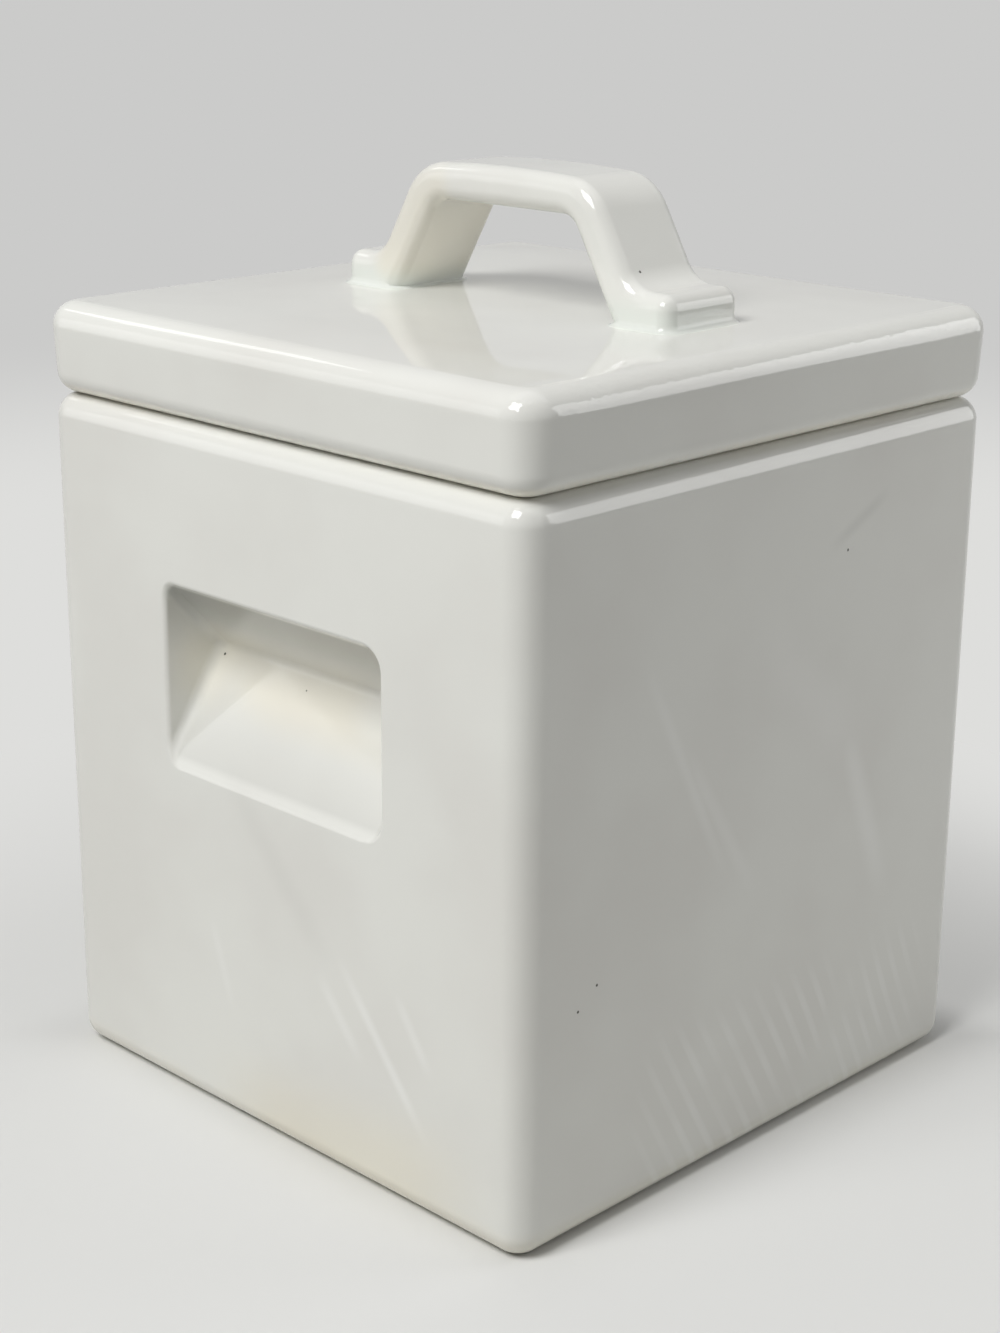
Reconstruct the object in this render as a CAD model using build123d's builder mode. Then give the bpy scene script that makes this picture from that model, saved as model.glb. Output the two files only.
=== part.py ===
"""Square porcelain storage canister: a cast body with a front niche, and a lift-off lid with a strap handle.

Millimetres. The origin is the centre of the base, +Z is up, and the niche is in the front face, on -Y.
The handle runs along X.
"""

import math
import os

from build123d import *

# Body, outside
body_width = 150.0
body_height = 159.6
body_corner_radius = 6.5
rim_edge_radius = 5.5
base_edge_radius = 6.0

# Body, inside
wall_thickness = 5.5
floor_thickness = 6.0
inner_corner_radius = 10.0
inner_base_radius = 7.0

# Rim, a lip thickened inwards that the lid rests on
rim_width = 10.0
rim_depth = 7.0
mouth_edge_radius = 1.5

# Foot ring under the base
foot_ring_width = 5.0
foot_recess = 1.5
foot_corner_radius = 4.0
foot_edge_radius = 0.8

# Finger niche in the front face, and the wall that follows it inside
niche_width = 69.2
niche_bottom = 79.6
niche_top = 123.6
niche_crease_height = 106.3
niche_depth = 16.0
niche_left_radius = 3.5
niche_right_radius = 6.0
niche_crease_radius = 2.0
niche_end_radius = 2.5
niche_edge_radius = 1.2
niche_lip_radius = 9.0
niche_lip_angle = 10.0
niche_lip_flat = 2.4
niche_wall = 5.5
niche_back_radius = 5.0
niche_back_bite = 1.0

# Lid
lid_set_in = 0.2
lid_height = 20.9
lid_draft = 2.7
lid_corner_radius = 7.0
lid_top_edge_radius = 6.0
lid_base_edge_radius = 5.0
lid_wall = 5.5
lid_top_thickness = 5.5
lid_seat_thickness = 5.0

# Locating flange under the lid
flange_clearance = 1.5
flange_thickness = 4.5
flange_depth = 11.0
flange_corner_radius = 6.0
flange_edge_radius = 1.5

# Strap handle
handle_length = 98.4
handle_width = 23.6
handle_rise = 30.0
crown_rise = 1.0
handle_offset_x = 3.2
handle_offset_y = 1.4
finger_height = 21.4
foot_height = 7.7
foot_length = 16.4
leg_reach = 38.5
leg_lean = 30.0
shoulder_radius = 12.5
heel_radius = 8.0
toe_radius = 3.4
finger_radius = 5.5
handle_outer_edge_radius = 3.4
handle_inner_edge_radius = 3.4
slip_radius = 1.6
slip_steps = 4

front = -body_width / 2
inner_width = body_width - 2 * wall_thickness
mouth_width = body_width - 2 * rim_width
lip_slope = rim_width - wall_thickness
mouth_corner_radius = inner_corner_radius - lip_slope
lip_bottom = body_height - rim_depth - lip_slope
floor_top = foot_recess + floor_thickness
foot_recess_width = body_width - 2 * (base_edge_radius + foot_ring_width)
lid_top = body_height + lid_height
lid_base_width = body_width - 2 * lid_set_in
lid_hollow_width = lid_base_width - 2 * lid_wall
flange_width = mouth_width - 2 * flange_clearance
lid_opening_width = flange_width - 2 * flange_thickness
lid_opening_radius = flange_corner_radius - flange_edge_radius


def edges_at_height(part, height):
    """The edges of the part whose middles lie at this height, such as the outline of a level face."""
    return part.edges().filter_by_position(Axis.Z, height - 0.01, height + 0.01)


# The niche: a V across the front face, its lower lip rolled over towards the face, with rounded ends
lip_turn = math.radians(niche_lip_angle)
lip_point = (
    front + niche_lip_flat * math.sin(lip_turn),
    niche_bottom + niche_lip_flat * math.cos(lip_turn),
)
lip_run_out = (
    front - niche_depth * math.sin(lip_turn),
    niche_bottom - niche_depth * math.cos(lip_turn),
)
crease_point = (front + niche_depth, niche_crease_height)

with BuildPart() as niche:
    with BuildSketch(Plane.YZ):
        with BuildLine():
            Polyline(
                (front - niche_depth, niche_top),
                (front, niche_top),
                crease_point,
                lip_point,
                lip_run_out,
                close=True,
            )
        make_face()
        fillet(vertices().sort_by(Axis.X)[-1], niche_crease_radius)
        fillet(vertices().sort_by_distance(lip_point)[0], niche_lip_radius)
    extrude(amount=niche_width / 2, both=True)
    with BuildSketch(Plane.XZ.offset(-front - niche_depth)):
        with Locations((0, (niche_bottom + niche_top) / 2)):
            Rectangle(niche_width, niche_top - niche_bottom)
        fillet(vertices().group_by(Axis.X)[0], niche_left_radius)
        fillet(vertices().group_by(Axis.X)[-1], niche_right_radius)
    extrude(amount=2 * niche_depth, mode=Mode.INTERSECT)
    inner_edges = edges().filter_by_position(Axis.Y, front + 0.01, front + niche_depth)
    fillet(inner_edges.filter_by(lambda edge: abs(edge.center().X) > niche_width / 4), niche_end_radius)

# The wall behind the niche, which follows it inside the jar
with BuildPart() as niche_back:
    with BuildSketch(Plane.YZ):
        with BuildLine():
            Polyline(
                (front - niche_depth, 2 * niche_top - niche_crease_height),
                crease_point,
                (front - niche_depth, 2 * niche_bottom - niche_crease_height),
                close=True,
            )
        make_face()
        offset(amount=niche_wall)
        with Locations((front + wall_thickness - niche_back_bite, niche_crease_height)):
            Rectangle(
                niche_depth + niche_wall,
                body_height,
                align=(Align.MIN, Align.CENTER),
                mode=Mode.INTERSECT,
            )
    extrude(amount=niche_width / 2 + niche_wall, both=True)
    end_edges = faces().sort_by(Axis.X)[0].edges() + faces().sort_by(Axis.X)[-1].edges()
    fillet(end_edges.filter_by_position(Axis.Y, front + wall_thickness, 0), niche_back_radius)

# Body, a hollow square jar
with BuildPart() as canister_body:
    with BuildSketch():
        RectangleRounded(body_width, body_width, body_corner_radius)
    extrude(amount=body_height)
    fillet(edges_at_height(canister_body, body_height), rim_edge_radius)
    fillet(edges_at_height(canister_body, 0), base_edge_radius)

    # Storage space, with the lip sloping in above it to the mouth
    with BuildSketch(Plane.XY.offset(floor_top)):
        RectangleRounded(inner_width, inner_width, inner_corner_radius)
    extrude(amount=lip_bottom - floor_top, mode=Mode.SUBTRACT)
    fillet(edges_at_height(canister_body, floor_top), inner_base_radius)
    with BuildSketch(Plane.XY.offset(lip_bottom)):
        RectangleRounded(inner_width, inner_width, inner_corner_radius)
    extrude(amount=lip_slope, taper=45, mode=Mode.SUBTRACT)
    with BuildSketch(Plane.XY.offset(body_height - rim_depth)):
        RectangleRounded(mouth_width, mouth_width, mouth_corner_radius)
    extrude(amount=rim_depth, mode=Mode.SUBTRACT)
    rim_face = faces().filter_by_position(Axis.Z, body_height - 0.01, body_height + 0.01)[0]
    fillet(rim_face.inner_wires()[0].edges(), mouth_edge_radius)

    # Recess inside the foot ring
    with BuildSketch():
        RectangleRounded(foot_recess_width, foot_recess_width, foot_corner_radius)
    extrude(amount=foot_recess, mode=Mode.SUBTRACT)
    foot_face = faces().sort_by(Axis.Z)[0]
    fillet(foot_face.inner_wires()[0].edges(), foot_edge_radius)

    # Front wall turned in round the niche, with the niche's own edges rounded
    add(niche_back.part)
    add(niche.part, mode=Mode.SUBTRACT)
    front_face = faces().filter_by_position(Axis.Y, front - 0.01, front + 0.01)[0]
    fillet(front_face.inner_wires()[0].edges(), niche_edge_radius)

canister_body.part.label = "canister_body"

# Lid, a hollow square shell with a seat turned in over the rim and a flange that drops into the mouth
with BuildPart() as lid:
    with BuildSketch(Plane.XY.offset(body_height)):
        RectangleRounded(lid_base_width, lid_base_width, lid_corner_radius)
    extrude(amount=lid_height, taper=-lid_draft)
    fillet(edges_at_height(lid, lid_top), lid_top_edge_radius)
    fillet(edges_at_height(lid, body_height), lid_base_edge_radius)
    with BuildSketch(Plane.XY.offset(body_height - flange_depth)):
        RectangleRounded(flange_width, flange_width, flange_corner_radius)
    extrude(amount=flange_depth)
    fillet(edges_at_height(lid, body_height - flange_depth), flange_edge_radius)

    # Hollow, and the way into it through the flange
    with BuildSketch(Plane.XY.offset(body_height + lid_seat_thickness)):
        RectangleRounded(lid_hollow_width, lid_hollow_width, lid_corner_radius)
    extrude(amount=lid_height - lid_seat_thickness - lid_top_thickness, mode=Mode.SUBTRACT)
    with BuildSketch(Plane.XY.offset(body_height - flange_depth)):
        RectangleRounded(lid_opening_width, lid_opening_width, lid_opening_radius)
    extrude(amount=flange_depth + lid_seat_thickness, mode=Mode.SUBTRACT)
    flange_face = faces().sort_by(Axis.Z)[0]
    fillet(flange_face.inner_wires()[0].edges(), flange_edge_radius)

lid.part.label = "lid"

# Strap handle, one bent strap with two feet flat on the lid, set by hand a little off its middle
half_length = handle_length / 2
lean = math.tan(math.radians(leg_lean))
shoulder_height = handle_rise - crown_rise
shoulder_reach = leg_reach - (shoulder_height - foot_height) * lean
foot_inside = half_length - foot_length
foot_middle = half_length - foot_length / 2
foot_centres = [(handle_offset_x + side * foot_middle, handle_offset_y) for side in (-1, 1)]
handle_front = handle_width / 2 - handle_offset_y
finger_reach = foot_inside - finger_height * lean
finger_top = lid_top + finger_height

# Each bend of the strap on one side: where its straight lines would meet, and its radius
strap_bends = [
    (shoulder_reach, shoulder_height, shoulder_radius),
    (leg_reach, foot_height, heel_radius),
    (half_length, foot_height, toe_radius),
    (finger_reach, finger_height, finger_radius),
]

with BuildPart() as lid_handle:
    with BuildSketch(Plane.XZ.offset(handle_front).shift_origin((handle_offset_x, -handle_front, lid_top))):
        with BuildLine():
            ThreePointArc(
                (-shoulder_reach, shoulder_height),
                (0, handle_rise),
                (shoulder_reach, shoulder_height),
            )
            right_side = Polyline(
                (shoulder_reach, shoulder_height),
                (leg_reach, foot_height),
                (half_length, foot_height),
                (half_length, 0),
                (foot_inside, 0),
                (finger_reach, finger_height),
                (0, finger_height),
            )
            mirror(right_side, about=Plane.YZ)
        make_face()
        for reach, height, radius in strap_bends:
            for side in (-1, 1):
                fillet(vertices().sort_by_distance((side * reach, height))[0], radius)
    extrude(amount=-handle_width)
    crown_edges = edges().group_by(Axis.Z)[-1]
    fillet(crown_edges, handle_outer_edge_radius)
    finger_edges = edges().filter_by(Axis.X).filter_by_position(Axis.Z, finger_top - 0.01, finger_top + 0.01)
    fillet(finger_edges, handle_inner_edge_radius)

    # Slip smoothed round the feet into a hollow curve, in steps that each lean out further down it
    for step in range(slip_steps):
        lower = math.radians(90 * step / slip_steps)
        upper = math.radians(90 * (step + 1) / slip_steps)
        spread = slip_radius * (1 - math.sin(lower))
        with BuildSketch(Plane.XY.offset(lid_top + slip_radius * (1 - math.cos(lower)))):
            with Locations(foot_centres):
                RectangleRounded(
                    foot_length + 2 * spread,
                    handle_width + 2 * spread,
                    handle_outer_edge_radius + spread,
                )
        step_height = slip_radius * (math.cos(lower) - math.cos(upper))
        extrude(amount=step_height, taper=90 - math.degrees((lower + upper) / 2))

lid_handle.part.label = "lid_handle"

os.makedirs("parts", exist_ok=True)
for piece in (canister_body, lid, lid_handle):
    export_step(piece.part, f"parts/{piece.part.label}.step")
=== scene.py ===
"""Square porcelain storage canister with a lift-off lid, glazed and photographed on a pale table.

Metres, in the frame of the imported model: the origin is the centre of the base, +Z is up, the niche
is in the front face on -Y, and the handle runs along X.
"""

import math

import bmesh
import bpy
from bpy.props import FloatProperty, FloatVectorProperty, PointerProperty
from bpy.types import Operator, Panel, PropertyGroup
from mathutils import Matrix, Vector


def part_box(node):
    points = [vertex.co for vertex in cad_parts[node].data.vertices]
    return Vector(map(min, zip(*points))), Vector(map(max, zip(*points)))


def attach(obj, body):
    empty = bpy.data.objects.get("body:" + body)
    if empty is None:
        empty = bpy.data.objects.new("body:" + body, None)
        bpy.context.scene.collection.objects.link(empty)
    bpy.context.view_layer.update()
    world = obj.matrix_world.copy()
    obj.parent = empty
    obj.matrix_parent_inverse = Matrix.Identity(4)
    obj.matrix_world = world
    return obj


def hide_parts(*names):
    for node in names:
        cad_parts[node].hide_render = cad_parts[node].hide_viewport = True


bl_info = {
    "name": "Porcelain Canister",
    "version": (1, 0, 0),
    "blender": (4, 5, 0),
    "location": "3D View > Sidebar > Canister",
    "description": "Glazed square canister with a lift-off lid, and the table it stands on",
    "category": "Add Mesh",
}

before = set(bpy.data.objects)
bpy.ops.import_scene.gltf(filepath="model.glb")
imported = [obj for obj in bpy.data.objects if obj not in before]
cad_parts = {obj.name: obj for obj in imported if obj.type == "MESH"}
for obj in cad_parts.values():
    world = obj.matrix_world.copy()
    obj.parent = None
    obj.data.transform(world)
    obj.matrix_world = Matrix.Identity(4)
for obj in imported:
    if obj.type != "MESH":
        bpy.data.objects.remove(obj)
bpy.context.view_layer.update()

MM = 0.001


# What the user can change


def srgb(code):
    """Linear red, green, blue and alpha of an sRGB hex colour such as #e9e9e3."""
    channels = [int(code[i:i + 2], 16) / 255 for i in (1, 3, 5)]
    linear = [c / 12.92 if c <= 0.04045 else ((c + 0.055) / 1.055) ** 2.4 for c in channels]
    return (*linear, 1.0)


def length(name, description, millimetres):
    """A size that the user can change, written in millimetres."""
    return FloatProperty(
        name=name, description=description, default=millimetres * MM, min=0.0, precision=5, unit="LENGTH"
    )


def colour(name, description, code):
    """A colour that the user can change, written as sRGB hex."""
    return FloatVectorProperty(
        name=name, description=description, default=srgb(code), size=4, min=0.0, max=1.0, subtype="COLOR"
    )


def power(name, description, watts):
    """The power of a light that the user can change."""
    return FloatProperty(name=name, description=description, default=watts, min=0.0, unit="POWER")


class CanisterGlaze(PropertyGroup):
    """Colours and surface of the glaze and of the bare clay."""

    white: colour("Glaze", "Glaze where it lies even", "#eaeae5")
    cloud: colour("Clouded glaze", "Glaze where it lies a little thicker", "#e5e4df")
    pooled: colour("Pooled glaze", "Glaze run together in hollows, thick and faintly green", "#e2e6e0")
    # Also the colour of the painted shade in the niche, and of two faint dark strokes
    thin: colour("Thin glaze", "Glaze that lies thin in the niche", "#aeaea8")
    # Cream is also the colour of a painted reflection of the table round the base, and of a painted warm
    # shade inside the handle's left leg
    cream: colour("Cream clay", "Clay that shows through where the glaze has run off", "#ebe2c9")
    # Painted sheen: wipe marks and whitening strokes take this colour to stand in for light caught on their
    # ridges
    painted_wipe_sheen: colour("Wipe marks", "Pale marks left in the glaze where it was wiped", "#f6f6f3")
    speck: colour("Iron specks", "Specks and pinholes in the glaze", "#55534c")
    bare: colour("Bare clay", "Unglazed porcelain on the foot ring and the lid's seat", "#e3ddd0")
    cloud_size: length("Cloud size", "Width of the faint clouds in the glaze", 42.0)
    ripple_size: length("Ripple size", "Width of the slow waves in the glaze", 34.0)
    ripple_height: length("Ripple height", "Height of the slow waves in the glaze", 0.13)
    peel_size: length("Peel size", "Width of the fine dimples in the glaze", 2.2)
    peel_height: length("Peel height", "Depth of the fine dimples in the glaze", 0.004)
    streak_pitch: length("Wipe mark pitch", "Distance from one wipe mark to the next", 5.3)
    streak_height: length("Wipe mark height", "Height of the wipe marks", 0.006)
    speck_size: length("Speck size", "Radius of a speck", 0.4)
    roughness: FloatProperty(
        name="Roughness", description="Roughness of the fired glaze", default=0.035, min=0.0, max=1.0
    )


class CanisterShape(PropertyGroup):
    """Sizes of what the glaze and the maker's hand add to the cast pieces."""

    crown_drop: length("Crown drop", "How far the lid's top falls away towards its edges", 0.4)
    crown_start: length("Crown start", "Distance from the middle at which the top starts to fall", 50.0)
    slip_sink: length("Slip sink", "Depth to which the slip round the handle's feet goes in", 0.05)


class CanisterStage(PropertyGroup):
    """Colours of the table and power of the lights."""

    table: colour("Table", "Pale table top near the canister", "#e4e4e2")
    backdrop: colour("Backdrop", "Grey that the table runs out into", "#cbcbca")
    table_thrown: colour("Table bounce", "Grey that the table throws back onto the canister", "#d8d8d5")
    table_seen: colour("Table glow", "Colour that the table has where no shadow falls", "#dededc")
    shadow_reach: length("Shadow reach", "Distance from the middle at which shadows have faded", 260.0)
    main_power: power("Main light", "Power of the soft light above the front", 15.0)
    window_power: power("Window light", "Power of the low light in front on the left", 1.0)
    edge_power: power("Edge light", "Power of the small light that draws the thin gleams", 0.3)
    overhead_power: power("Overhead light", "Power of the wide soft light above", 3.6)
    back_power: power("Back light", "Power of the weak light behind the right side", 1.05)


class CanisterSettings(PropertyGroup):
    """Everything that the user can change."""

    glaze: PointerProperty(type=CanisterGlaze)
    shape: PointerProperty(type=CanisterShape)
    stage: PointerProperty(type=CanisterStage)


# Marks in the glaze, among them painted shade, painted sheen and painted reflection. Places and widths are in
# millimetres, and a strength of 1 hides the glaze

# Noise values between which a cloud in the glaze grows from nothing to its full strength
CLOUD_EDGE = (0.35, 0.7)

# Painted shade in the niche, in the thin glaze colour: a box, the heights at which it starts and is at its
# strongest, and its strength. The first darkens the niche towards its bottom, the second its upper slope
# under the top edge
NICHE_PAINTED_SHADE = (
    ((-32.5, -73.4, 76), (32.5, -50, 126), 106, 78, 0.4),
    ((-34, -73.4, 76), (34, -50, 126), 105, 122, 1.0),
)
NICHE_SOFT_SIDE = 1.2

# Patches of another colour: a box, the width of its soft side, and the strength
BODY_CREAM = (
    # A cream tint along the niche's crease
    ((-30, -66, 100), (36, -56, 105), 10.0, 0.4),
    # Painted reflection of the table in cream, round the rounded base
    ((-80, -80, 0), (80, 80, 2), 6.0, 0.3),
)
LID_CREAM = (((-80, -80, 156), (80, 80, 161), 1.6, 0.35),)
# Painted warm shade in cream on the shaded inner side of the handle's left leg
HANDLE_WARM_SHADE = (((-32, -14, 186), (-16, 18, 206), 6.0, 0.35),)
HANDLE_POOLS = (((-80, -20, 180), (80, 20, 183), 5.0, 0.9),)

# The noise that makes such patches uneven: its width, and the values between which it lets them through
PATCH_NOISE = 30.0
PATCH_EDGE = (0.15, 0.6)

# The row of even wipe marks low on the right face, which stand up a little and are painted paler as their
# sheen:
# the direction across them, their box, the width of its soft side, and their strength
WIPE_ACROSS = (0.0, 0.888, 0.46)
WIPE_BOX = ((72, -30, 6), (76, 52, 28))
WIPE_SOFT_SIDE = 14.0
WIPE_STRENGTH = 0.7

# The noise that bends these marks and how far it does, and the noise that breaks them up, with the values
# between which it lets them through
WIPE_BEND_NOISE = 80.0
WIPE_BEND = 12.0
WIPE_GAP_NOISE = 18.0
WIPE_GAP_EDGE = (0.25, 0.6)

# Single strokes in the glaze: both ends, the width and the strength. The whitening strokes are painted sheen,
# and also stand up a little
SHEEN_STROKES = (
    ((75, -42.4, 125.3), (75, -11.0, 64.8), 2.5, 0.6),
    ((75, -30.7, 105.4), (75, -0.7, 58.3), 3.0, 0.5),
    ((75, -8.5, 123.8), (75, 38.0, 80.0), 12.0, 0.5),
    ((75, 24.7, 98.0), (75, 46.0, 44.1), 5.0, 0.8),
    ((19.7, -75, 53.8), (50.0, -75, 16.0), 2.2, 1.0),
    ((14.0, -75, 47.0), (29.0, -75, 29.0), 2.5, 0.7),
    ((38.0, -75, 51.0), (50.0, -75, 33.0), 2.2, 0.7),
    ((-22.0, -75, 50.0), (-14.0, -75, 26.0), 2.2, 0.4),
)
# Painted reflection of the table: a cream band low on the front face
TABLE_REFLECTION_STROKES = (((-30.0, -75, 2.0), (72.0, -75, 12.0), 19.0, 0.4),)
DARK_STROKES = (
    ((-20.0, -75, 90.0), (24.0, -75, 43.0), 5.5, 0.08),
    ((75, 17.0, 133.5), (75, 40.0, 144.5), 2.4, 0.16),
)

# The share of a stroke over which each of its ends fades, and how far the painted sheen of the wipe marks and
# strokes whitens the glaze
STROKE_END = 0.35
SHEEN_STRENGTH = 0.6

# Specks and pinholes: their middles
BODY_SPECKS = (
    (75, -58.5, 52.4),
    (75, -53, 56.5),
    (75, 24.5, 133),
    (-3.2, -61.2, 102.4),
    (-32, -60.4, 104.1),
    (20.2, -75, 121),
)
LID_SPECKS = ((12.2, 67.2, 180.5),)
HANDLE_SPECKS = ((39.8, -5.0, 191.5),)


# Materials

PORCELAIN_IOR = 1.5

# Bare clay is matt, with a grain that is drawn coarser than it is so that it shows
BARE_ROUGHNESS = 0.75
BARE_GRAIN = 0.6
BARE_GRAIN_HEIGHT = 0.02


def add_node(tree, kind, settings=None, inputs=None, output=0):
    """Adds a node, sets its settings and its inputs, each a value or a socket, and gives back an output."""
    node = tree.nodes.new(kind)
    for key, value in (settings or {}).items():
        setattr(node, key, value)
    for key, value in (inputs or {}).items():
        if isinstance(value, bpy.types.NodeSocket):
            tree.links.new(value, node.inputs[key])
        else:
            node.inputs[key].default_value = value
    return node.outputs[output]


def new_material(name):
    """An empty node material, its tree, and the input that its finished shader goes into."""
    material = bpy.data.materials.new(name)
    material.use_nodes = True
    tree = material.node_tree
    tree.nodes.clear()
    return material, tree, tree.nodes.new("ShaderNodeOutputMaterial").inputs["Surface"]


def fade(tree, strength, *ramps):
    """This strength where every value has reached the end of its ramp, and zero before the start of any.

    A ramp is a value with its start and its end, and rises smoothly. The start may be the larger.
    """
    for value, start, end in ramps:
        inputs = {"Value": value, "From Min": start, "From Max": end}
        share = add_node(tree, "ShaderNodeMapRange", {"interpolation_type": "SMOOTHSTEP"}, inputs)
        strength = add_node(tree, "ShaderNodeMath", {"operation": "MULTIPLY"}, {0: share, 1: strength})
    return strength


def distance_from_box(tree, place, low, high):
    """Distance from the box between two corners in millimetres, and zero inside it."""
    middle = (Vector(low) + Vector(high)) / 2 * MM
    half = (Vector(high) - Vector(low)) / 2 * MM
    for operation, inputs in (
        ("SUBTRACT", {1: middle}),
        ("ABSOLUTE", {}),
        ("SUBTRACT", {1: half}),
        ("MAXIMUM", {1: (0, 0, 0)}),
    ):
        place = add_node(tree, "ShaderNodeVectorMath", {"operation": operation}, {0: place, **inputs})
    return add_node(tree, "ShaderNodeVectorMath", {"operation": "LENGTH"}, {0: place}, "Value")


def patches(tree, place, boxes):
    """The strength of soft uneven patches, for each of these boxes."""
    uneven = add_node(
        tree, "ShaderNodeTexNoise", {}, {"Vector": place, "Scale": 1 / (PATCH_NOISE * MM), "Detail": 1.0}
    )
    for low, high, soft, strength in boxes:
        distance = distance_from_box(tree, place, low, high)
        yield fade(tree, strength, (distance, soft * MM, 0.0), (uneven, *PATCH_EDGE))


def specks(tree, place, points, radius):
    """One on a small speck at each of these points in millimetres, and zero elsewhere."""
    mask = 0.0
    for point in points:
        inputs = {0: place, 1: Vector(point) * MM}
        distance = add_node(tree, "ShaderNodeVectorMath", {"operation": "DISTANCE"}, inputs, "Value")
        spot = fade(tree, 1.0, (distance, radius, radius / 2))
        mask = add_node(tree, "ShaderNodeMath", {"operation": "MAXIMUM"}, {0: spot, 1: mask})
    return mask


def wipe_marks(tree, place, pitch):
    """Even soft lines low on the right face, this far apart, wandering a little and broken up."""
    inputs = {"Vector": place, "Scale": 1 / (WIPE_BEND_NOISE * MM), "Detail": 0.0}
    wander = add_node(tree, "ShaderNodeTexNoise", {}, inputs)
    inputs = {"Vector": place, "Scale": 1 / (WIPE_GAP_NOISE * MM), "Detail": 1.0}
    gaps = add_node(tree, "ShaderNodeTexNoise", {}, inputs)
    inputs = {0: place, 1: WIPE_ACROSS}
    across = add_node(tree, "ShaderNodeVectorMath", {"operation": "DOT_PRODUCT"}, inputs, "Value")
    inputs = {0: wander, 1: WIPE_BEND * MM, 2: across}
    bent = add_node(tree, "ShaderNodeMath", {"operation": "MULTIPLY_ADD"}, inputs)
    angle = add_node(tree, "ShaderNodeMath", {"operation": "MULTIPLY"}, {0: bent, 1: math.tau / pitch})
    wave = add_node(tree, "ShaderNodeMath", {"operation": "SINE"}, {0: angle})
    distance = distance_from_box(tree, place, *WIPE_BOX)
    ramps = (wave, 0.0, 1.0), (gaps, *WIPE_GAP_EDGE), (distance, WIPE_SOFT_SIDE * MM, 0.0)
    return fade(tree, WIPE_STRENGTH, *ramps)


def stroke(tree, place, start, end, width, strength):
    """This strength on the line between two points in millimetres, fading beside it and towards its ends."""
    start, along = Vector(start) * MM, (Vector(end) - Vector(start)) * MM
    offset = add_node(tree, "ShaderNodeVectorMath", {"operation": "SUBTRACT"}, {0: place, 1: start})
    inputs = {0: offset, 1: along / along.length_squared}
    share = add_node(tree, "ShaderNodeVectorMath", {"operation": "DOT_PRODUCT"}, inputs, "Value")
    nearest = add_node(tree, "ShaderNodeVectorMath", {"operation": "SCALE"}, {0: along, "Scale": share})
    inputs = {0: offset, 1: nearest}
    aside = add_node(tree, "ShaderNodeVectorMath", {"operation": "DISTANCE"}, inputs, "Value")
    ramps = (share, 0.0, STROKE_END), (share, 1.0, 1 - STROKE_END), (aside, width * MM, 0.0)
    return fade(tree, strength, *ramps)


def dress_body(tree, place, glaze):
    """Painted shade in the niche, a cream tint along its crease, a painted reflection of the table in cream
    round the base, wipe marks painted paler as their sheen, and specks.
    """
    tints = []
    height = add_node(tree, "ShaderNodeSeparateXYZ", {}, {0: place}, "Z")
    # Painted shade in the niche, in the thin glaze colour
    for low, high, start, end, strength in NICHE_PAINTED_SHADE:
        distance = distance_from_box(tree, place, low, high)
        ramps = (height, start * MM, end * MM), (distance, NICHE_SOFT_SIDE * MM, 0.0)
        tints.append((fade(tree, strength, *ramps), glaze.thin))
    tints += [(patch, glaze.cream) for patch in patches(tree, place, BODY_CREAM)]
    marks = wipe_marks(tree, place, glaze.streak_pitch)
    for line in SHEEN_STROKES:
        inputs = {0: marks, 1: stroke(tree, place, *line)}
        marks = add_node(tree, "ShaderNodeMath", {"operation": "MAXIMUM"}, inputs)
    # Painted sheen: the marks are whitened in the colour as well as raised by the bump
    sheen_share = add_node(tree, "ShaderNodeMath", {"operation": "MULTIPLY"}, {0: marks, 1: SHEEN_STRENGTH})
    tints.append((sheen_share, glaze.painted_wipe_sheen))
    # Painted reflection of the table along the front base
    tints += [(stroke(tree, place, *line), glaze.cream) for line in TABLE_REFLECTION_STROKES]
    tints += [(stroke(tree, place, *line), glaze.thin) for line in DARK_STROKES]
    spots = specks(tree, place, BODY_SPECKS, glaze.speck_size)
    return [*tints, (spots, glaze.speck)], marks, spots


def dress_lid(tree, place, glaze):
    """Cream clay along the lid's lower edge, where the glaze was wiped off its seat, and a speck on top."""
    tints = [(patch, glaze.cream) for patch in patches(tree, place, LID_CREAM)]
    spots = specks(tree, place, LID_SPECKS, glaze.speck_size)
    return [*tints, (spots, glaze.speck)], None, spots


def dress_handle(tree, place, glaze):
    """Pooled glaze round the feet, a painted warm shade in cream inside one leg, and a speck at the bend
    above a foot.
    """
    tints = [(pool, glaze.pooled) for pool in patches(tree, place, HANDLE_POOLS)]
    tints += [(patch, glaze.cream) for patch in patches(tree, place, HANDLE_WARM_SHADE)]
    spots = specks(tree, place, HANDLE_SPECKS, glaze.speck_size)
    return [*tints, (spots, glaze.speck)], None, spots


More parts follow.
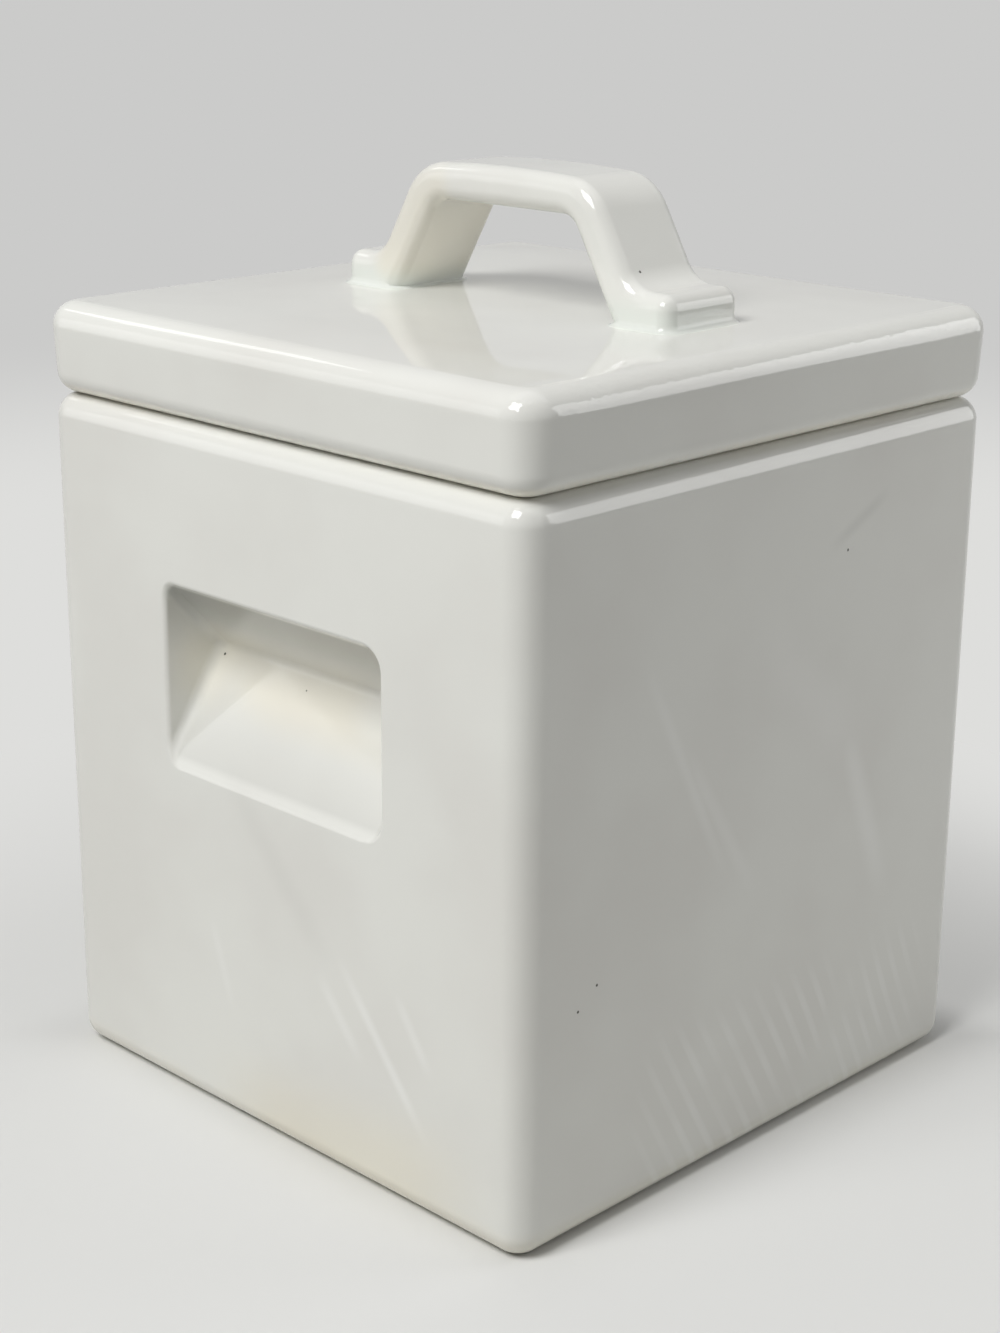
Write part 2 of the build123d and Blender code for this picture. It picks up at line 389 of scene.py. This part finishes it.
def glaze_material(glaze, name, dress):
    """Glossy white glaze over slip-cast porcelain, as fired: a clear hard gloss that ripples slightly.

    The function given finds the marks of one piece. It takes the tree, the place and the glaze, and
    gives back each tint's mask and colour from the bottom up, what stands up, and what lies deep.
    """
    material, tree, surface = new_material(name)
    place = add_node(tree, "ShaderNodeTexCoord", output="Object")
    inputs = {"Vector": place, "Scale": 1 / glaze.cloud_size, "Detail": 2.0}
    clouds = fade(tree, 1.0, (add_node(tree, "ShaderNodeTexNoise", {}, inputs), *CLOUD_EDGE))
    tints, raised, sunk = dress(tree, place, glaze)
    shade = glaze.white
    for mask, tint in [(clouds, glaze.cloud), *tints]:
        shade = add_node(tree, "ShaderNodeMix", {"data_type": "RGBA"}, {0: mask, 6: shade, 7: tint}, 2)

    inputs = {"Vector": place, "Scale": 1 / glaze.ripple_size, "Detail": 1.0}
    ripples = add_node(tree, "ShaderNodeTexNoise", {}, inputs)
    inputs = {"Vector": place, "Scale": 1 / glaze.peel_size, "Detail": 2.0}
    peel = add_node(tree, "ShaderNodeTexNoise", {}, inputs)
    normal = {}
    for relief, depth in (
        (ripples, glaze.ripple_height),
        (peel, glaze.peel_height),
        (raised, glaze.streak_height),
        (sunk, -glaze.speck_size / 2),
    ):
        if relief:
            inputs = {"Height": relief, "Distance": depth, **normal}
            normal = {"Normal": add_node(tree, "ShaderNodeBump", {}, inputs)}
    inputs = {"Base Color": shade, "Roughness": glaze.roughness, "IOR": PORCELAIN_IOR, **normal}
    tree.links.new(add_node(tree, "ShaderNodeBsdfPrincipled", {}, inputs), surface)
    return material


def bare_clay_material(glaze):
    """Bisque porcelain, bare where the piece stood in the kiln: matt, fine-grained and slightly cream."""
    material, tree, surface = new_material("bare_porcelain")
    place = add_node(tree, "ShaderNodeTexCoord", output="Object")
    inputs = {"Vector": place, "Scale": 1 / (BARE_GRAIN * MM), "Detail": 3.0}
    grain = add_node(tree, "ShaderNodeTexNoise", {}, inputs)
    inputs = {"Height": grain, "Distance": BARE_GRAIN_HEIGHT * MM}
    normal = add_node(tree, "ShaderNodeBump", {}, inputs)
    inputs = {
        "Base Color": glaze.bare, "Roughness": BARE_ROUGHNESS, "IOR": PORCELAIN_IOR, "Normal": normal
    }
    tree.links.new(add_node(tree, "ShaderNodeBsdfPrincipled", {}, inputs), surface)
    return material


# Pieces

# How near to a height a face lies that counts as on it, and the normal's Z below which a face looks down
NEAR = 0.1 * MM
LOOKS_DOWN = -0.99

# How near two points are the same in a cast piece, and the angle from which an edge is sharp
SAME_POINT = 0.001 * MM
SHARP_EDGE = math.radians(38)

# The weight at which a vertex normal follows the largest faces round it
FOLLOW_LARGE_FACES = 100

# The crowned part of the lid's top: how many steps it is cut into, how square it is, and the millimetres
# below the top at which it has faded
CROWN_STEPS = 6
CROWN_SQUARENESS = 8
CROWN_FADE = 6.0


def cast_copy(node):
    """A bmesh of a cast piece from the frame, with its loose triangles merged."""
    mesh = bmesh.new()
    mesh.from_mesh(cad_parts[node].data)
    bmesh.ops.remove_doubles(mesh, verts=mesh.verts, dist=SAME_POINT)
    return mesh


def faces_down_at(face, height):
    """Whether a face looks straight down and lies at this height."""
    return face.normal.z < LOOKS_DOWN and abs(face.calc_center_median().z - height) < NEAR


def leave_bare(mesh, height):
    """Gives the second material, bare clay, to the faces that look down at this height."""
    for face in mesh.faces:
        face.material_index = 1 if faces_down_at(face, height) else 0


def crown_top(mesh, top, shape):
    """Lets the flat top of the lid fall away a little towards its edges."""
    fall_end = max(vertex.co.x for vertex in mesh.verts if vertex.co.z > top - NEAR)
    for step in range(CROWN_STEPS + 1):
        reach = shape.crown_start + (fall_end - shape.crown_start) * step / CROWN_STEPS
        for normal in ((1, 0, 0), (0, 1, 0), (-1, 0, 0), (0, -1, 0)):
            lid_top = [face for face in mesh.faces if face.calc_center_median().z > top - NEAR]
            edges = {edge for face in lid_top for edge in face.edges}
            points = {vertex for face in lid_top for vertex in face.verts}
            bmesh.ops.bisect_plane(
                mesh, geom=[*lid_top, *edges, *points], plane_co=Vector(normal) * reach, plane_no=normal
            )
    for vertex in mesh.verts:
        sides = abs(vertex.co.x) ** CROWN_SQUARENESS + abs(vertex.co.y) ** CROWN_SQUARENESS
        outward = sides ** (1 / CROWN_SQUARENESS) - shape.crown_start
        share = min(max(outward / (fall_end - shape.crown_start), 0.0), 1.0)
        near_top = min(max((vertex.co.z - top) / (CROWN_FADE * MM) + 1, 0.0), 1.0)
        vertex.co.z -= shape.crown_drop * share ** 2 * near_top


def sink_feet(mesh, foot, shape):
    """Opens the undersides of the handle's feet and lets the rims of the slip go into the lid."""
    underside = [face for face in mesh.faces if faces_down_at(face, foot)]
    bmesh.ops.delete(mesh, geom=underside, context="FACES_ONLY")
    for edge in mesh.edges:
        if edge.is_boundary:
            for vertex in edge.verts:
                vertex.co.z = foot - shape.slip_sink


def finish_piece(mesh, name, body, node, materials):
    """Makes the bmesh an object that stands for its node, rides on its body and has these materials."""
    data = bpy.data.meshes.new(name)
    mesh.to_mesh(data)
    mesh.free()
    piece = bpy.data.objects.new(name, data)
    bpy.context.scene.collection.objects.link(piece)
    for material in materials:
        data.materials.append(material)
    data.shade_smooth()
    data.set_sharp_from_angle(angle=SHARP_EDGE)
    normals = piece.modifiers.new("weighted_normals", "WEIGHTED_NORMAL")
    normals.keep_sharp = True
    normals.weight = FOLLOW_LARGE_FACES
    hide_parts(node)
    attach(piece, body)


class CANISTER_OT_body(Operator):
    """Glazed body with its bare foot ring"""

    bl_idname = "canister.body"
    bl_label = "Body"

    def execute(self, context):
        glaze = context.scene.canister.glaze
        mesh = cast_copy("canister_body")
        leave_bare(mesh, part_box("canister_body")[0].z)
        materials = [glaze_material(glaze, "body_glaze_white", dress_body), bare_clay_material(glaze)]
        finish_piece(mesh, "glazed_body", "canister", "canister_body", materials)
        return {"FINISHED"}


class CANISTER_OT_lid(Operator):
    """Glazed lid, its top crowned and its seat bare"""

    bl_idname = "canister.lid"
    bl_label = "Lid"

    def execute(self, context):
        glaze = context.scene.canister.glaze
        mesh = cast_copy("lid")
        leave_bare(mesh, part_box("canister_body")[1].z)
        crown_top(mesh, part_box("lid")[1].z, context.scene.canister.shape)
        materials = [glaze_material(glaze, "lid_glaze_white", dress_lid), bare_clay_material(glaze)]
        finish_piece(mesh, "glazed_lid", "lid", "lid", materials)
        return {"FINISHED"}


class CANISTER_OT_handle(Operator):
    """Strap handle with the slip smoothed round its feet"""

    bl_idname = "canister.handle"
    bl_label = "Handle"

    def execute(self, context):
        glaze = context.scene.canister.glaze
        mesh = cast_copy("lid_handle")
        sink_feet(mesh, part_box("lid_handle")[0].z, context.scene.canister.shape)
        materials = [glaze_material(glaze, "handle_glaze_white", dress_handle)]
        finish_piece(mesh, "glazed_handle", "lid", "lid_handle", materials)
        return {"FINISHED"}


# Stage

CAMERA_PLACE = Vector((370.014, -381.632, 265.279)) * MM
CAMERA_YAW = math.radians(44.511)
CAMERA_PITCH = math.radians(17.765)
CAMERA_ROLL = math.radians(0.406)
CAMERA_LENS = 64.72
CAMERA_NEAR = 10 * MM

# Soft rectangular lights, which all point at one place: name, place, width and height in metres, and colour
LIGHTS = (
    ("main", (0.06, -0.88, 1.15), 0.6, 0.65, "#fffffe"),
    ("window", (-0.95, -0.9, 0.38), 0.5, 0.6, "#ffffff"),
    ("edge", (-0.98, -0.25, 0.95), 0.2, 0.2, "#ffffff"),
    ("overhead", (0.0, 0.1, 1.4), 1.2, 1.2, "#ffffff"),
    ("back", (0.38, 0.48, 0.3), 0.35, 0.35, "#ffffff"),
)
LIT_PLACE = Vector((0, 0, 100)) * MM

# The table is a disc, whose radius in metres takes it out of sight
TABLE_RADIUS = 30.0
TABLE_SEGMENTS = 96

# Distances in metres from the middle of the table: between the first two its contact shadow fades by this
# share, from the second on the rest of its shadows fades, and between the last two it turns into the backdrop
CONTACT = (0.075, 0.095)
CONTACT_SHARE = 0.4
TABLE_END = (0.56, 1.02)

# The strength with which the backdrop and the room light the canister, where 1 is how bright they look
BACKDROP_THROWN = 0.1
ROOM_THROWN = 0.02


def seen_ray(tree):
    """One where a surface is seen by the camera or mirrored in the glaze, and zero where it only lights."""
    camera = add_node(tree, "ShaderNodeLightPath", output="Is Camera Ray")
    mirrored = camera.node.outputs["Is Glossy Ray"]
    return add_node(tree, "ShaderNodeMath", {"operation": "MAXIMUM"}, {0: camera, 1: mirrored})


def table_material(stage):
    """Pale matt table whose shadows fade with distance, run out into an even grey backdrop."""
    material, tree, surface = new_material("table")
    seen = seen_ray(tree)
    place = add_node(tree, "ShaderNodeTexCoord", output="Object")
    distance = add_node(tree, "ShaderNodeVectorMath", {"operation": "LENGTH"}, {0: place}, "Value")
    aside = add_node(tree, "ShaderNodeVectorMath", {"operation": "ABSOLUTE"}, {0: place})
    across = add_node(tree, "ShaderNodeSeparateXYZ", {}, {0: aside}, "X")
    inputs = {0: across, 1: across.node.outputs["Y"]}
    square_distance = add_node(tree, "ShaderNodeMath", {"operation": "MAXIMUM"}, inputs)

    near_fade = fade(tree, CONTACT_SHARE, (square_distance, *CONTACT))
    far_fade = fade(tree, 1 - CONTACT_SHARE, (square_distance, CONTACT[1], stage.shadow_reach))
    faded = add_node(tree, "ShaderNodeMath", {"operation": "ADD"}, {0: near_fade, 1: far_fade})
    faded = add_node(tree, "ShaderNodeMath", {"operation": "MULTIPLY"}, {0: faded, 1: seen})
    inputs = {0: seen, 6: stage.table_thrown, 7: stage.table}
    shade = add_node(tree, "ShaderNodeMix", {"data_type": "RGBA"}, inputs, 2)
    matt = add_node(tree, "ShaderNodeBsdfDiffuse", {}, {"Color": shade})
    glow = add_node(tree, "ShaderNodeEmission", {}, {"Color": stage.table_seen})
    near = add_node(tree, "ShaderNodeMixShader", {}, {0: faded, 1: matt, 2: glow})

    inputs = {"Value": seen, "To Min": BACKDROP_THROWN, "To Max": 1.0}
    strength = add_node(tree, "ShaderNodeMapRange", {}, inputs)
    inputs = {"Color": stage.backdrop, "Strength": strength}
    backdrop = add_node(tree, "ShaderNodeEmission", {}, inputs)
    far = fade(tree, 1.0, (distance, *TABLE_END))
    tree.links.new(add_node(tree, "ShaderNodeMixShader", {}, {0: far, 1: near, 2: backdrop}), surface)
    return material


def place_table(stage):
    """The table, as a stage for the canister."""
    mesh = bmesh.new()
    bmesh.ops.create_circle(mesh, cap_ends=True, segments=TABLE_SEGMENTS, radius=TABLE_RADIUS)
    data = bpy.data.meshes.new("table")
    mesh.to_mesh(data)
    mesh.free()
    table = bpy.data.objects.new("table", data)
    bpy.context.scene.collection.objects.link(table)
    data.materials.append(table_material(stage))


def place_lights(stage):
    """The soft lights, each with its own power."""
    for name, place, width, height, tint in LIGHTS:
        data = bpy.data.lights.new(f"{name}_light", "AREA")
        data.shape = "RECTANGLE"
        data.size = width
        data.size_y = height
        data.energy = getattr(stage, f"{name}_power")
        data.color = srgb(tint)[:3]
        light = bpy.data.objects.new(f"{name}_light", data)
        bpy.context.scene.collection.objects.link(light)
        turn = (LIT_PLACE - Vector(place)).to_track_quat("-Z", "Y").to_matrix().to_4x4()
        light.matrix_world = Matrix.Translation(place) @ turn


def place_room(stage):
    """Even room light, with the backdrop's grey where the camera and the glaze see past the table."""
    world = bpy.data.worlds.new("room")
    bpy.context.scene.world = world
    world.use_nodes = True
    tree = world.node_tree
    tree.nodes.clear()
    inputs = {"Value": seen_ray(tree), "To Min": ROOM_THROWN, "To Max": 1.0}
    strength = add_node(tree, "ShaderNodeMapRange", {}, inputs)
    inputs = {"Color": stage.backdrop, "Strength": strength}
    background = add_node(tree, "ShaderNodeBackground", {}, inputs)
    tree.links.new(background, tree.nodes.new("ShaderNodeOutputWorld").inputs["Surface"])


def place_camera():
    """The photograph's view: near eye level over the table, 45 degrees round from the front."""
    data = bpy.data.cameras.new("camera")
    data.lens = CAMERA_LENS
    data.clip_start = CAMERA_NEAR
    camera = bpy.data.objects.new("camera", data)
    bpy.context.scene.collection.objects.link(camera)
    turn = (
        Matrix.Rotation(CAMERA_YAW, 4, "Z")
        @ Matrix.Rotation(math.pi / 2 - CAMERA_PITCH, 4, "X")
        @ Matrix.Rotation(CAMERA_ROLL, 4, "Z")
    )
    camera.matrix_world = Matrix.Translation(CAMERA_PLACE) @ turn
    bpy.context.scene.camera = camera


class CANISTER_OT_stage(Operator):
    """Table, backdrop colour, lights and camera"""

    bl_idname = "canister.stage"
    bl_label = "Stage"

    def execute(self, context):
        stage = context.scene.canister.stage
        place_camera()
        place_table(stage)
        place_lights(stage)
        place_room(stage)
        context.scene.view_settings.view_transform = "Standard"
        return {"FINISHED"}


class CANISTER_PT_panel(Panel):
    """Lists the pieces, their sizes and their colours"""

    bl_idname = "CANISTER_PT_panel"
    bl_label = "Porcelain Canister"
    bl_space_type = "VIEW_3D"
    bl_region_type = "UI"
    bl_category = "Canister"

    def draw(self, context):
        settings = context.scene.canister
        for group in (settings.glaze, settings.shape, settings.stage):
            box = self.layout.box()
            for name in group.bl_rna.properties.keys():
                if name not in {"rna_type", "name"}:
                    box.prop(group, name)
        for operator in OPERATORS:
            self.layout.operator(operator.bl_idname)


OPERATORS = (CANISTER_OT_stage, CANISTER_OT_body, CANISTER_OT_lid, CANISTER_OT_handle)
CLASSES = (CanisterGlaze, CanisterShape, CanisterStage, CanisterSettings, *OPERATORS, CANISTER_PT_panel)


def register():
    for item in CLASSES:
        bpy.utils.register_class(item)
    bpy.types.Scene.canister = PointerProperty(type=CanisterSettings)


def unregister():
    del bpy.types.Scene.canister
    for item in reversed(CLASSES):
        bpy.utils.unregister_class(item)


def main():
    register()
    bpy.ops.canister.stage()
    bpy.ops.canister.body()
    bpy.ops.canister.lid()
    bpy.ops.canister.handle()


if __name__ == "__main__":
    main()
